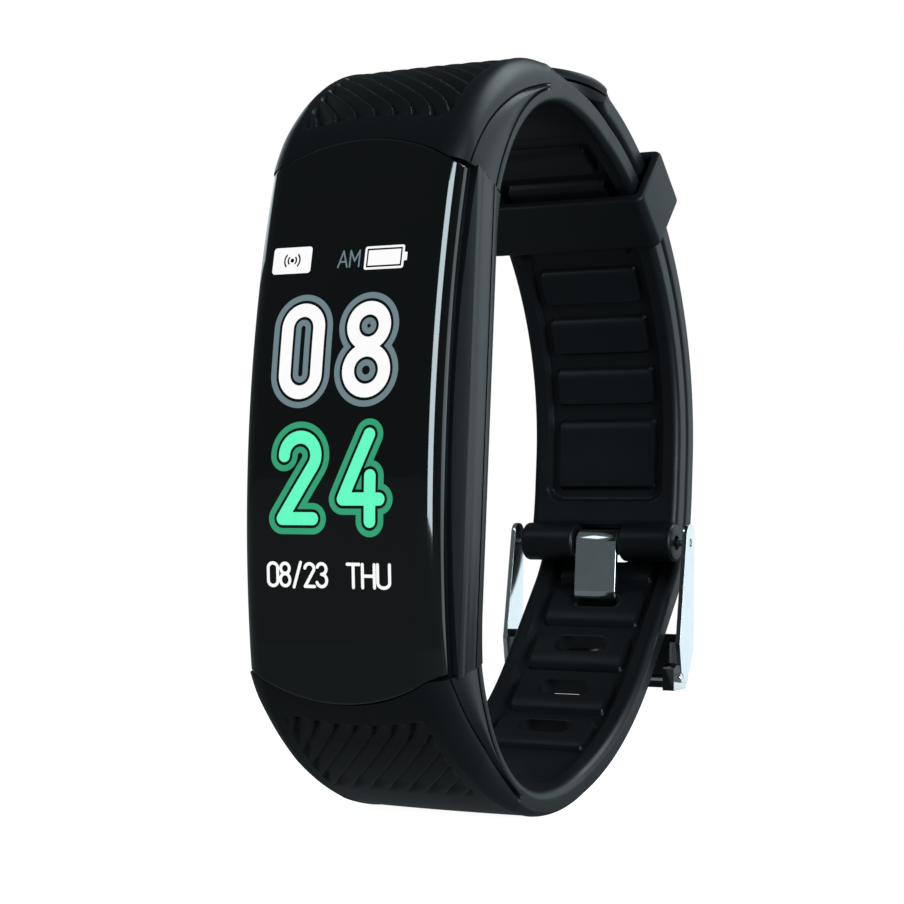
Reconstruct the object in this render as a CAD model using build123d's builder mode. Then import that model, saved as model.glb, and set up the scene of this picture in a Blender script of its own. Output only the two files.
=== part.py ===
"""Fitness tracker band, closed as it is worn. Millimetres.

X runs across the strap, +X to the wearer's right as they read the display.
The display faces -Y, the buckle is at the back on +Y, and +Z is the display's upper end.
The origin is the middle of the opening for the wrist.
"""
from math import asin, atan2, cos, degrees, radians, sin, sqrt
import os

from build123d import *

os.makedirs("parts", exist_ok=True)

# ---------------------------------------------------------------- driving dimensions
# The wrist opening: two large arcs round the back of the wrist, two smaller ones at the case.
back_radius = 30.8
back_center_y = -7.0
back_center_z = 1.7
front_radius = 16.3
strap_thickness = 2.4
shoulder_radius = 29.5
crest_radius = 20.4
crest_y = -12.0
crest_top_z = 35.5
root_half_width = 10.0
strap_half_width = 8.6
tail_half_width = 8.3
taper_start_y = -22.0
taper_end_y = 3.0

# The case and its lens.
lens_apex_y = -33.2
lens_radius = 110.0
lens_depth = 2.2
lens_glass = 1.2
lens_half_width = 9.7
lens_side_z = 21.9
lens_middle_z = 24.8
gasket_thickness = 0.3
case_front_z = 22.3
case_wrist_z = 20.8
case_half_width = 10.3
case_rim = 1.3
cavity_half_width = 8.6
cavity_half_height = 18.6

# Thicknesses of the flat parts inside the case.
lcd_thickness = 1.3
backlight_thickness = 0.7
foam_thickness = 0.2
battery_thickness = 2.3
board_thickness = 0.7
floor_thickness = 1.2
cover_thickness = 0.8

# The buckle and its spring bar.
bar_angle = 10.6
bar_circle = 31.1
barrel_radius = 2.05
barrel_half_width = 8.8
tube_radius = 0.75
tip_radius = 0.4
arm_inner_x = 9.9
arm_thickness = 0.5
tang_half_width = 2.4
tang_sheet = 0.6
notch_half_width = 2.7

# The tail of the lower strap, outside the upper strap.
tail_radius = 33.8
lift_radius = 14.0
leave_angle = 37.0
tail_end_angle = 88.5
hole_pitch = 6.0
hole_length = 5.7
hole_width = 1.9
tang_hole_run = 36.8

# The keeper loop.
keeper_angle = 51.5
keeper_length = 6.6
keeper_outer = 37.5
keeper_inner = 29.3
keeper_half_width = 9.9

# ---------------------------------------------------------------- worked out from them
front_center_z = back_center_z + back_radius - front_radius
wrist_face_y = back_center_y - front_radius
shoulder_center_z = back_center_z + back_radius + strap_thickness - shoulder_radius
crest_center_z = crest_top_z - crest_radius
lens_center_y = lens_apex_y + lens_radius
seat_radius = lens_radius - lens_depth - gasket_thickness
case_front_y = lens_center_y - sqrt(seat_radius**2 - case_front_z**2)
case_wrist_y = back_center_y - sqrt(front_radius**2 - (case_wrist_z - front_center_z) ** 2)
end_slope = (case_front_z - case_wrist_z) / (case_wrist_y - case_front_y)
root_front_y = -30.9
root_front_z = case_wrist_z + end_slope * (case_wrist_y - root_front_y)
bar_y = back_center_y + bar_circle * cos(radians(bar_angle))
bar_z = -back_center_z - bar_circle * sin(radians(bar_angle))
run_out = sqrt((tail_radius - lift_radius) ** 2 - (back_radius - lift_radius) ** 2)
lift_turn = degrees(atan2(run_out, back_radius - lift_radius))

cover_y = wrist_face_y
cover_front_y = cover_y - cover_thickness
board_y = cover_front_y - floor_thickness
board_front_y = board_y - board_thickness
battery_y = board_front_y - 0.1
foam_y = battery_y - battery_thickness
backlight_y = foam_y - foam_thickness
lcd_y = backlight_y - backlight_thickness


def layer(y):
    """A plane across the case at depth y, which faces the lens."""
    return Plane.XZ.offset(-y)


def save(piece, name):
    """Label a finished piece and write it."""
    piece.part.label = name
    export_step(piece.part, f"parts/{name}.step")


# ---------------------------------------------------------------- display lens
def lens_arc(radius, half_height):
    """An arc about the lens's centre, seen from the side."""
    half_angle = degrees(asin(half_height / radius))
    return CenterArc((lens_center_y, 0), radius, 180 - half_angle, 2 * half_angle)


def close_between(first, second):
    """Two straight edges that join the ends of two arcs into an outline."""
    Line(first @ 0, second @ 0)
    Line(first @ 1, second @ 1)


def lens_outline(grow=0.0):
    """The lens seen from the front: straight long sides and bowed ends."""
    side = lens_half_width + grow
    corner = lens_side_z + grow
    middle = lens_middle_z + grow
    upper = ThreePointArc((side, corner), (0, middle), (-side, corner))
    lower = ThreePointArc((side, -corner), (0, -middle), (-side, -corner))
    close_between(upper, lower)


with BuildPart() as display_lens:
    with BuildSketch(Plane.YZ):
        with BuildLine():
            front = lens_arc(lens_radius, lens_middle_z + 1)
            close_between(front, lens_arc(lens_radius - lens_depth, lens_middle_z + 1))
        make_face()
    extrude(amount=lens_half_width + 1, both=True)
    with BuildSketch(layer(0)):
        with BuildLine():
            lens_outline()
        make_face()
    extrude(amount=50, mode=Mode.INTERSECT)
    front_edges = display_lens.faces().sort_by(Axis.Y)[0].edges().sort_by(Axis.X)
    fillet([front_edges[0], front_edges[-1]], radius=2.0)
    front_edges = display_lens.faces().sort_by(Axis.Y)[0].edges().sort_by(Axis.Z)
    fillet([front_edges[0], front_edges[-1]], radius=0.3)
    with BuildSketch(Plane.YZ):
        with BuildLine():
            ceiling = lens_arc(lens_radius - lens_glass, cavity_half_height - 0.2)
            close_between(ceiling, lens_arc(lens_radius - lens_depth - 1, cavity_half_height - 0.2))
        make_face()
    extrude(amount=cavity_half_width - 0.2, both=True, mode=Mode.SUBTRACT)
save(display_lens, "display_lens")

with BuildPart() as lens_gasket:
    with BuildSketch(Plane.YZ):
        with BuildLine():
            top_face = lens_arc(lens_radius - lens_depth, case_front_z - 0.5)
            close_between(top_face, lens_arc(seat_radius, case_front_z - 0.5))
        make_face()
    extrude(amount=lens_half_width - 0.4, both=True)
    with BuildSketch(layer(0)):
        RectangleRounded(2 * cavity_half_width, 2 * cavity_half_height, 1)
    extrude(amount=50, mode=Mode.SUBTRACT)
save(lens_gasket, "lens_gasket")

# ---------------------------------------------------------------- case
lug_y = -25.9
lug_z = 24.0
lug_radius = 1.5
lug_half_width = 5.5
pin_radius = 0.6
pin_half_length = 7.5
pin_bore = 0.62
window_half_width = 5.6
window_half_height = 12.6
cover_half_width = 8.2
cover_half_height = 15.6
screw_x = 7.0
screw_z = 14.2
screw_radius = 0.5
side_groove = 0.3
groove_floor_x = 9.6

# Each long side has a parting groove under the lens and one that sets off the rim on the wrist side.
with BuildPart() as case_body:
    with BuildSketch(Plane.YZ):
        with BuildLine():
            seat = lens_arc(seat_radius, case_front_z)
            turn = degrees(asin((case_wrist_z - front_center_z) / front_radius))
            upper = CenterArc((back_center_y, front_center_z), front_radius, 180 - turn, turn)
            lower = CenterArc((back_center_y, -front_center_z), front_radius, 180, turn)
            Line(seat @ 0, upper @ 0)
            Line(upper @ 1, lower @ 0)
            Line(lower @ 1, seat @ 1)
        make_face()
    extrude(amount=case_half_width, both=True)
    with BuildSketch(Plane.XY):
        with BuildLine():
            right = ThreePointArc((lens_half_width, -32), (case_half_width, -27.4), (9.6, -22))
            left = ThreePointArc((-lens_half_width, -32), (-case_half_width, -27.4), (-9.6, -22))
            close_between(right, left)
        make_face()
    extrude(amount=40, both=True, mode=Mode.INTERSECT)
    for side in (1, -1):
        with BuildSketch(Plane.YZ.offset(side * groove_floor_x)):
            with BuildLine():
                under_lens = lens_arc(seat_radius, case_front_z + 1)
                close_between(under_lens, lens_arc(seat_radius - side_groove, case_front_z + 1))
            make_face()
            with Locations((wrist_face_y - case_rim, 0)):
                Rectangle(side_groove, 2 * case_front_z)
        extrude(amount=side, mode=Mode.SUBTRACT)
    with BuildSketch(layer(board_y)):
        RectangleRounded(2 * cavity_half_width, 2 * cavity_half_height, 1)
    extrude(amount=10, mode=Mode.SUBTRACT)
    with BuildSketch(layer(cover_y + 1)):
        RectangleRounded(2 * window_half_width, 2 * window_half_height, 1)
    extrude(amount=5, mode=Mode.SUBTRACT)
    with BuildSketch(layer(cover_front_y)):
        RectangleRounded(2 * cover_half_width + 0.1, 2 * cover_half_height + 0.1, 1.55)
    extrude(amount=-2, mode=Mode.SUBTRACT)
    with BuildSketch(layer(cover_front_y)):
        RectangleRounded(2 * window_half_width + 1.6, 2 * window_half_height + 1.6, 1.6)
        RectangleRounded(2 * window_half_width + 0.6, 2 * window_half_height + 0.6, 1.2, mode=Mode.SUBTRACT)
    extrude(amount=0.35, mode=Mode.SUBTRACT)
    with BuildSketch(layer(cover_front_y)):
        with GridLocations(2 * screw_x, 2 * screw_z, 2, 2):
            Circle(screw_radius)
    extrude(amount=1.0, mode=Mode.SUBTRACT)
    for end in (1, -1):
        with BuildSketch(Plane.YZ):
            with Locations((lug_y, end * (lug_z - 1.5))):
                Rectangle(2 * lug_radius, 3)
            with Locations((lug_y, end * lug_z)):
                Circle(lug_radius)
        extrude(amount=lug_half_width, both=True)
        with BuildSketch(Plane.YZ):
            with Locations((lug_y, end * lug_z)):
                Circle(pin_bore)
        extrude(amount=lug_half_width, both=True, mode=Mode.SUBTRACT)
save(case_body, "case_body")

# ---------------------------------------------------------------- back cover
bump_radius = 6.4
bump_height = 0.7
glass_radius = 4.0
contact_x = 1.4
contact_z = -10.4
contact_radius = 0.8
magnet_x = 4.2
magnet_radius = 1.1

with BuildPart() as back_cover:
    with BuildSketch(layer(cover_y)):
        RectangleRounded(2 * cover_half_width, 2 * cover_half_height, 1.5)
    extrude(amount=cover_thickness)
    with BuildSketch(layer(cover_y)):
        Circle(bump_radius)
    extrude(amount=-bump_height)
    fillet(back_cover.faces().sort_by(Axis.Y)[-1].edges(), radius=0.5)
    with BuildSketch(layer(cover_y + bump_height)):
        Circle(glass_radius + 0.05)
    extrude(amount=0.9, mode=Mode.SUBTRACT)
    with BuildSketch(layer(cover_y + bump_height)):
        Circle(glass_radius - 0.6)
    extrude(amount=bump_height + cover_thickness, mode=Mode.SUBTRACT)
    with BuildSketch(layer(cover_y)):
        with Locations((contact_x, contact_z), (-contact_x, contact_z)):
            Circle(contact_radius + 0.02)
    extrude(amount=cover_thickness, mode=Mode.SUBTRACT)
    with BuildSketch(layer(cover_y)):
        with GridLocations(2 * screw_x, 2 * screw_z, 2, 2):
            Circle(screw_radius + 0.1)
    extrude(amount=cover_thickness, mode=Mode.SUBTRACT)
    with BuildSketch(layer(cover_y)):
        with GridLocations(2 * screw_x, 2 * screw_z, 2, 2):
            Circle(1.0)
    extrude(amount=0.4, mode=Mode.SUBTRACT)
save(back_cover, "back_cover")

with BuildPart() as back_gasket:
    with BuildSketch(layer(cover_front_y)):
        RectangleRounded(2 * window_half_width + 1.5, 2 * window_half_height + 1.5, 1.55)
        RectangleRounded(2 * window_half_width + 0.7, 2 * window_half_height + 0.7, 1.25, mode=Mode.SUBTRACT)
    extrude(amount=0.35)
save(back_gasket, "back_gasket")

with BuildPart() as back_cover_screws:
    with BuildSketch(layer(cover_front_y + 0.42)):
        with GridLocations(2 * screw_x, 2 * screw_z, 2, 2):
            Circle(0.9)
    extrude(amount=-0.3)
    with BuildSketch(layer(cover_front_y + 0.42)):
        with GridLocations(2 * screw_x, 2 * screw_z, 2, 2):
            Circle(screw_radius - 0.02)
    extrude(amount=1.3)
    with BuildSketch(layer(cover_front_y + 0.72)):
        with GridLocations(2 * screw_x, 2 * screw_z, 2, 2):
            Rectangle(1.1, 0.2)
            Rectangle(0.2, 1.1)
    extrude(amount=0.18, mode=Mode.SUBTRACT)
save(back_cover_screws, "back_cover_screws")

with BuildPart() as sensor_window:
    with BuildSketch(layer(cover_y + bump_height - 0.9)):
        Circle(glass_radius)
    extrude(amount=-0.9)
    fillet(sensor_window.faces().sort_by(Axis.Y)[-1].edges(), radius=0.15)
save(sensor_window, "sensor_window")

with BuildPart() as charge_contacts:
    with BuildSketch(layer(cover_y + 0.1)):
        with Locations((contact_x, contact_z), (-contact_x, contact_z)):
            Circle(contact_radius)
    extrude(amount=cover_thickness + 0.6)
save(charge_contacts, "charge_contacts")

with BuildPart() as charge_magnets:
    with BuildSketch(layer(cover_front_y)):
        with Locations((magnet_x, contact_z), (-magnet_x, contact_z)):
            Circle(magnet_radius)
    extrude(amount=1.0)
save(charge_magnets, "charge_magnets")

# ---------------------------------------------------------------- display and electronics
with BuildPart() as lcd_panel:
    with BuildSketch(layer(lcd_y)):
        Rectangle(16.4, 33)
    extrude(amount=lcd_thickness)
    chamfer(lcd_panel.faces().sort_by(Axis.Y)[0].edges(), length=0.15)
save(lcd_panel, "lcd_panel")

with BuildPart() as lcd_backlight:
    with BuildSketch(layer(backlight_y)):
        RectangleRounded(16.2, 32.6, 0.4)
    extrude(amount=backlight_thickness)
save(lcd_backlight, "lcd_backlight")

with BuildPart() as touch_pad:
    with BuildSketch(layer(-30.25)):
        with Locations((0, -17.4)):
            RectangleRounded(7, 1.5, 0.7)
    extrude(amount=0.15)
save(touch_pad, "touch_pad")

battery_z = 3.0
with BuildPart() as battery_foam:
    with BuildSketch(layer(foam_y)):
        with Locations((0, battery_z)):
            RectangleRounded(11.5, 20, 0.5)
    extrude(amount=foam_thickness)
save(battery_foam, "battery_foam")

with BuildPart() as battery:
    with BuildSketch(layer(battery_y)):
        with Locations((0, battery_z)):
            RectangleRounded(13, 22, 0.8)
    extrude(amount=battery_thickness)
    fillet(battery.edges().filter_by(Axis.Z), radius=0.6)
save(battery, "battery")

with BuildPart() as main_board:
    with BuildSketch(layer(board_y)):
        RectangleRounded(16.6, 36.4, 0.8)
    extrude(amount=board_thickness)
save(main_board, "main_board")

with BuildPart() as display_flex:
    flex_sheet = 0.15
    with BuildSketch(Plane.YZ):
        with BuildLine():
            Polyline(
                (lcd_y - 0.3, 16.5),
                (lcd_y - 0.3, 17.9),
                (board_front_y - flex_sheet, 17.9),
                (board_front_y - flex_sheet, 15.4),
                (board_front_y, 15.4),
                (board_front_y, 17.9 + flex_sheet),
                (lcd_y - 0.3 - flex_sheet, 17.9 + flex_sheet),
                (lcd_y - 0.3 - flex_sheet, 16.5),
                close=True,
            )
        make_face()
    extrude(amount=4, both=True)
save(display_flex, "display_flex")

with BuildPart() as board_chips:
    with BuildSketch(layer(board_front_y)):
        with Locations((-4.4, -12.5)):
            Rectangle(5, 5)
        with Locations((-4.4, -16.6)):
            Rectangle(3.2, 1.8)
    extrude(amount=0.8)
    with BuildSketch(layer(board_front_y)):
        with Locations((-7.4, -9.0), (7.5, 8), (7.5, 3), (7.5, -2), (-7.5, 8), (-7.5, 3), (-7.5, -2)):
            Rectangle(1, 2)
    extrude(amount=0.5)
save(board_chips, "board_chips")

with BuildPart() as chip_antenna:
    with BuildSketch(layer(board_front_y)):
        with Locations((6.2, 16.4)):
            Rectangle(3.2, 1.6)
    extrude(amount=1.2)
save(chip_antenna, "chip_antenna")

# ---------------------------------------------------------------- vibration motor
motor_x = 3.6
motor_z = -13.4
motor_radius = 4.0
motor_depth = 2.4
motor_wall = 0.2

with BuildPart() as vibration_motor_can:
    with BuildSketch(layer(board_front_y)):
        with Locations((motor_x, motor_z)):
            Circle(motor_radius)
    extrude(amount=motor_depth)
    with BuildSketch(layer(board_front_y - motor_wall)):
        with Locations((motor_x, motor_z)):
            Circle(motor_radius - motor_wall)
    extrude(amount=motor_depth - 2 * motor_wall, mode=Mode.SUBTRACT)
save(vibration_motor_can, "vibration_motor_can")

with BuildPart() as motor_shaft:
    with BuildSketch(layer(board_front_y - motor_wall)):
        with Locations((motor_x, motor_z)):
            Circle(0.4)
    extrude(amount=motor_depth - 2 * motor_wall)
save(motor_shaft, "motor_shaft")

with BuildPart() as motor_rotor:
    with BuildSketch(layer(board_front_y - motor_wall - 0.3)):
        with Locations((motor_x, motor_z)):
            Circle(motor_radius - 0.6)
        with Locations((motor_x, motor_z - 4)):
            Rectangle(8, 5.4, mode=Mode.SUBTRACT)
        with Locations((motor_x, motor_z)):
            Circle(1.3)
            Circle(0.45, mode=Mode.SUBTRACT)
    extrude(amount=motor_depth - 2 * motor_wall - 0.6)
save(motor_rotor, "motor_rotor")

# ---------------------------------------------------------------- heart-rate sensor
with BuildPart() as sensor_leds:
    with BuildSketch(layer(board_y + 0.5)):
        with Locations((0, 2.4), (0, -2.4)):
            Rectangle(1.6, 0.8)
    extrude(amount=0.5)
save(sensor_leds, "sensor_leds")

with BuildPart() as photodiode:
    with BuildSketch(layer(board_y + 0.5)):
        Rectangle(2.4, 2.0)
    extrude(amount=0.5)
save(photodiode, "photodiode")

with BuildPart() as sensor_light_barrier:
    with BuildSketch(layer(board_y + 1.2)):
        Circle(3.9)
        Rectangle(2.8, 2.4, mode=Mode.SUBTRACT)
        with Locations((0, 2.4), (0, -2.4)):
            Rectangle(2.0, 1.2, mode=Mode.SUBTRACT)
    extrude(amount=1.2)
save(sensor_light_barrier, "sensor_light_barrier")

# ---------------------------------------------------------------- straps
lens_pocket_y = -28.0
pocket_depth = 0.8
pocket_half_width = 6.2
slat_angle = 10.4
gap_angle = 2.7
first_gap_angle = 8.0
gap_length = 1.6
gap_from_hole = 2.0
tip_cut_z = 31.0
tip_side_y = 0.5
tip_end_y = -5.6


def root_inner(side):
    """A root's arc on the wrist side, from the loop's top or bottom to the case."""
    turn = 90 - degrees(asin((case_wrist_z - front_center_z) / front_radius))
    return CenterArc((back_center_y, side * front_center_z), front_radius, side * 90, side * turn)


def strap_plan(half_width):
    """The strap seen from above: full width at the case, narrower round the back."""
    Polyline(
        (root_half_width, -40),
        (root_half_width, taper_start_y),
        (half_width, taper_end_y),
        (half_width, 40),
        (-half_width, 40),
        (-half_width, taper_end_y),
        (-root_half_width, taper_start_y),
        (-root_half_width, -40),
        close=True,
    )


# Room in both roots for the lens's ends, the case's lugs and their pins.
with BuildPart() as root_room:
    with BuildSketch(layer(lens_pocket_y)):
        with BuildLine():
            lens_outline(grow=0.1)
        make_face()
    extrude(amount=10)
    for side in (1, -1):
        with BuildSketch(Plane.YZ):
            with Locations((lug_y, side * (lug_z - 2))):
                Rectangle(2 * lug_radius + 0.2, 4)
            with Locations((lug_y, side * lug_z)):
                Circle(lug_radius + 0.1)
        extrude(amount=lug_half_width + 0.1, both=True)
        with BuildSketch(Plane.YZ):
            with Locations((lug_y, side * lug_z)):
                Circle(pin_bore)
        extrude(amount=pin_half_length + 0.05, both=True)


def back_edges(radius, start):
    """One face of the upper strap from near its top, round the back, to the spring bar."""
    top = CenterArc((back_center_y, back_center_z), radius, start, -start)
    back = Line(top @ 1, (back_center_y + radius, -back_center_z))
    return top, CenterArc((back_center_y, -back_center_z), radius, 0, -bar_angle)


with BuildPart() as strap_upper:
    with BuildSketch(Plane.YZ):
        with BuildLine():
            inner_root = root_inner(1)
            crest_turn = 90 - degrees(asin((root_front_z - crest_center_z) / crest_radius))
            outer_root = CenterArc((crest_y, crest_center_z), crest_radius, 90, crest_turn)
            Line(inner_root @ 1, outer_root @ 1)
            inner_end = back_edges(back_radius, 90)[1]
            outer_top, outer_end = back_edges(back_radius + strap_thickness, 82)
            Line(outer_root @ 0, outer_top @ 0)
            Line(inner_end @ 1, outer_end @ 1)
        make_face()
    extrude(amount=root_half_width, both=True)
    with BuildSketch(Plane.XY):
        with BuildLine():
            strap_plan(strap_half_width)
        make_face()
    extrude(amount=45, both=True, mode=Mode.INTERSECT)
    add(root_room.part, mode=Mode.SUBTRACT)
    with BuildSketch(Plane.YZ):
        with Locations((bar_y, bar_z)):
            Circle(barrel_radius)
    extrude(amount=barrel_half_width, both=True)
    for gap in range(7):
        start = first_gap_angle + gap * slat_angle
        with BuildSketch(Plane.YZ):
            with BuildLine():
                center = (back_center_y, back_center_z)
                floor = CenterArc(center, back_radius + pocket_depth, start, gap_angle)
                mouth = CenterArc(center, back_radius - 0.3, start, gap_angle)
                close_between(floor, mouth)
            make_face()
        extrude(amount=pocket_half_width, both=True, mode=Mode.SUBTRACT)
    with BuildSketch(Plane.YZ):
        with Locations((bar_y, bar_z)):
            Circle(tube_radius + 0.05)
    extrude(amount=barrel_half_width, both=True, mode=Mode.SUBTRACT)
    with BuildSketch(Plane.YZ):
        with Locations((bar_y, bar_z - 0.6)):
            Rectangle(10, 6)
    extrude(amount=notch_half_width, both=True, mode=Mode.SUBTRACT)
save(strap_upper, "strap_upper")


def lower_run(depth):
    """One face of the lower strap, depth outside its inner face, from its bottom to its tip."""
    bottom = (back_center_y, -back_center_z - back_radius - depth)
    back = JernArc(bottom, (1, 0), back_radius + depth, 90 - leave_angle)
    leave = Line(back @ 1, back @ 1 + (back % 1) * run_out)
    lift = JernArc(leave @ 1, leave % 1, lift_radius + depth, lift_turn)
    settle = JernArc(lift @ 1, lift % 1, tail_radius + depth, leave_angle - lift_turn)
    straight = Line(settle @ 1, settle @ 1 + Vector(0, 2 * back_center_z))
    return JernArc(straight @ 1, (0, 1), tail_radius + depth, tail_end_angle)


with BuildLine() as run_line:
    lower_run(0)
holed_run = run_line.wires()[0]


def on_run(distance):
    """The plane on the lower strap's inner face at a distance along it, facing outward."""
    point = holed_run.position_at(distance, position_mode=PositionMode.LENGTH)
    along = holed_run.tangent_at(distance, position_mode=PositionMode.LENGTH)
    return Plane(origin=(0, point.X, point.Y), x_dir=(1, 0, 0), z_dir=(0, along.Y, -along.X))


with BuildPart() as strap_lower:
    with BuildSketch(Plane.YZ):
        with BuildLine():
            inner_root = root_inner(-1)
            shoulder_turn = 90 - degrees(asin((root_front_z - shoulder_center_z) / shoulder_radius))
            outer_root = CenterArc(
                (back_center_y, -shoulder_center_z), shoulder_radius, -90, -shoulder_turn
            )
            Line(inner_root @ 1, outer_root @ 1)
            inner_tip = lower_run(0)
            outer_tip = lower_run(strap_thickness)
            Line(inner_tip @ 1, outer_tip @ 1)
        make_face()
    extrude(amount=root_half_width, both=True)
    with BuildSketch(Plane.XY):
        with BuildLine():
            strap_plan(tail_half_width)
        make_face()
    extrude(amount=45, both=True, mode=Mode.INTERSECT)
    add(root_room.part, mode=Mode.SUBTRACT)
    for step in range(-3, 7):
        with BuildSketch(on_run(tang_hole_run + step * hole_pitch)):
            SlotOverall(hole_length, hole_width)
        extrude(amount=4, both=True, mode=Mode.SUBTRACT)
    for step in range(-3, 7):
        gap_run = tang_hole_run + step * hole_pitch + gap_from_hole
        with BuildSketch(on_run(gap_run).offset(-0.3)):
            RectangleRounded(2 * pocket_half_width, gap_length, 0.5)
        extrude(amount=0.3 + pocket_depth, mode=Mode.SUBTRACT)
    with BuildSketch(Plane.XY.offset(tip_cut_z)):
        with BuildLine():
            tip = ThreePointArc((-9, tip_side_y), (0, tip_end_y), (9, tip_side_y))
            Polyline(tip @ 0, (-9, -10), (9, -10), tip @ 1)
        make_face()
    extrude(amount=10, mode=Mode.SUBTRACT)
save(strap_lower, "strap_lower")

for side, name in ((1, "upper_strap_pin"), (-1, "lower_strap_pin")):
    with BuildPart() as strap_pin:
        with BuildSketch(Plane.YZ):
            with Locations((lug_y, side * lug_z)):
                Circle(pin_radius)
        extrude(amount=pin_half_length, both=True)
        chamfer(strap_pin.edges().filter_by(GeomType.CIRCLE), length=0.15)
    save(strap_pin, name)

# ---------------------------------------------------------------- keeper loop
keeper_clearance = 0.3
keeper_direction = Vector(0, cos(radians(keeper_angle)), sin(radians(keeper_angle)))
loop_center = Vector(0, back_center_y, back_center_z)
keeper_plane = Plane(
    origin=loop_center + keeper_direction * keeper_inner,
    x_dir=(1, 0, 0),
    z_dir=keeper_direction,
)

with BuildPart() as keeper_loop:
    with BuildSketch(keeper_plane):
        Rectangle(2 * keeper_half_width, keeper_length)
    extrude(amount=keeper_outer - keeper_inner)
    fillet(keeper_loop.edges().filter_by(Axis((0, 0, 0), keeper_plane.y_dir)), radius=0.9)
    with BuildSketch(Plane.YZ):
        with Locations((back_center_y, back_center_z)):
            Circle(tail_radius + strap_thickness + keeper_clearance)
            Circle(back_radius - keeper_clearance, mode=Mode.SUBTRACT)
    extrude(amount=strap_half_width + keeper_clearance, both=True, mode=Mode.SUBTRACT)
save(keeper_loop, "keeper_loop")

# ---------------------------------------------------------------- buckle
frame_plane = Plane(origin=(0, bar_y, bar_z), x_dir=(0, 0, -1), z_dir=(1, 0, 0))
plate_start = 9.7
plate_end = 14.6
plate_front = 0.75
plate_thickness = 0.7
cross_pin_place = (14.3, -1.3)
cross_pin_radius = 0.4
ear_inner_x = 8.6

with BuildPart() as buckle_frame:
    with BuildSketch(frame_plane):
        with BuildLine():
            eye = CenterArc((-0.9, 0), 1.1, 90, 180)
            Polyline(eye @ 1, (10.8, -2.2), (14.8, -1.2), (14.8, 0.2), (11.0, 1.7), eye @ 0)
        make_face()
    extrude(amount=arm_inner_x + arm_thickness, both=True)
    with BuildSketch(frame_plane):
        Rectangle(60, 20)
    extrude(amount=arm_inner_x, both=True, mode=Mode.SUBTRACT)
    with BuildSketch(frame_plane):
        with BuildLine():
            Polyline(
                (plate_start, plate_front),
                (plate_end, plate_front),
                (plate_end, plate_front + plate_thickness),
                (plate_start, plate_front + plate_thickness),
                close=True,
            )
        make_face()
    extrude(amount=arm_inner_x + 0.1, both=True)
    with BuildSketch(frame_plane):
        with BuildLine():
            Polyline(
                (10.6, 1.2), (10.6, -0.6), (12.8, -1.2), (13.4, -2.4), (15.7, -2.2), (15.4, 1.2), close=True
            )
        make_face()
    extrude(amount=arm_inner_x, both=True)
    with BuildSketch(frame_plane):
        with Locations((13, -3)):
            Rectangle(8, 2 * (3 + plate_front))
    extrude(amount=ear_inner_x, both=True, mode=Mode.SUBTRACT)
    with BuildSketch(frame_plane):
        Circle(tip_radius + 0.05)
        with Locations(cross_pin_place):
            Circle(cross_pin_radius + 0.02)
    extrude(amount=arm_inner_x + arm_thickness, both=True, mode=Mode.SUBTRACT)
save(buckle_frame, "buckle_frame")

with BuildPart() as buckle_cross_pin:
    with BuildSketch(frame_plane):
        with Locations(cross_pin_place):
            Circle(cross_pin_radius)
    extrude(amount=arm_inner_x + arm_thickness, both=True)
    chamfer(buckle_cross_pin.edges().filter_by(GeomType.CIRCLE), length=0.1)
save(buckle_cross_pin, "buckle_cross_pin")

# The tang's sheet rolls round the bar, runs down inside the strap and out through the hole.
tang_eye = tube_radius + 0.05
tang_rest = plate_front + plate_thickness + 0.05
tang_wrist = -tang_eye - tang_sheet
tang_turn_in = 5.75
tang_turn_out = 8.95
tang_tip = 13.2
with BuildPart() as buckle_tang:
    with BuildSketch(frame_plane):
        Circle(tang_eye + tang_sheet)
        with BuildLine():
            middle = FilletPolyline(
                (0, tang_wrist + tang_sheet / 2),
                (tang_turn_in, tang_wrist + tang_sheet / 2),
                (tang_turn_out, tang_rest + tang_sheet / 2),
                (tang_tip, tang_rest + tang_sheet / 2),
                radius=0.9,
            )
        trace(middle, line_width=tang_sheet)
        Circle(tang_eye, mode=Mode.SUBTRACT)
    extrude(amount=tang_half_width, both=True)
save(buckle_tang, "buckle_tang")

# ---------------------------------------------------------------- spring bar
tube_half_length = 8.5
neck_length = 0.6
tube_bore = 0.58
collar_radius = 0.54
collar_x = 7.0
collar_length = 0.5
tip_end_x = 10.3
spring_radius = 0.4
spring_wire = 0.09

with BuildPart() as buckle_bar_tube:
    with BuildSketch(frame_plane):
        Circle(tube_radius)
    extrude(amount=tube_half_length, both=True)
    with BuildSketch(frame_plane):
        Circle(tube_bore)
    extrude(amount=tube_half_length - neck_length, both=True, mode=Mode.SUBTRACT)
    with BuildSketch(frame_plane):
        Circle(tip_radius + 0.03)
    extrude(amount=tube_half_length, both=True, mode=Mode.SUBTRACT)
save(buckle_bar_tube, "buckle_bar_tube")

for side, name in ((-1, "buckle_bar_tip_left"), (1, "buckle_bar_tip_right")):
    with BuildPart() as bar_tip:
        with BuildSketch(frame_plane.offset(side * collar_x)):
            Circle(tip_radius)
        extrude(amount=side * (tip_end_x - collar_x))
        with BuildSketch(frame_plane.offset(side * collar_x)):
            Circle(collar_radius)
        extrude(amount=side * collar_length)
    save(bar_tip, name)

with BuildPart() as buckle_bar_spring:
    with BuildLine():
        coil = Helix(
            pitch=0.9,
            height=2 * collar_x - 0.3,
            radius=spring_radius,
            center=(-collar_x + 0.15, bar_y, bar_z),
            direction=(1, 0, 0),
        )
    with BuildSketch(Plane(origin=coil @ 0, z_dir=coil % 0)):
        Circle(spring_wire)
    sweep(is_frenet=True)
save(buckle_bar_spring, "buckle_bar_spring")
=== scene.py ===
"""A fitness tracker band, fastened as it is worn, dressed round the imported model. Metres."""

from math import acos, asin, atan2, cos, degrees, hypot, pi, radians, sin, sqrt

import bmesh
import bpy
import numpy as np
from mathutils import Matrix, Vector


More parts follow.
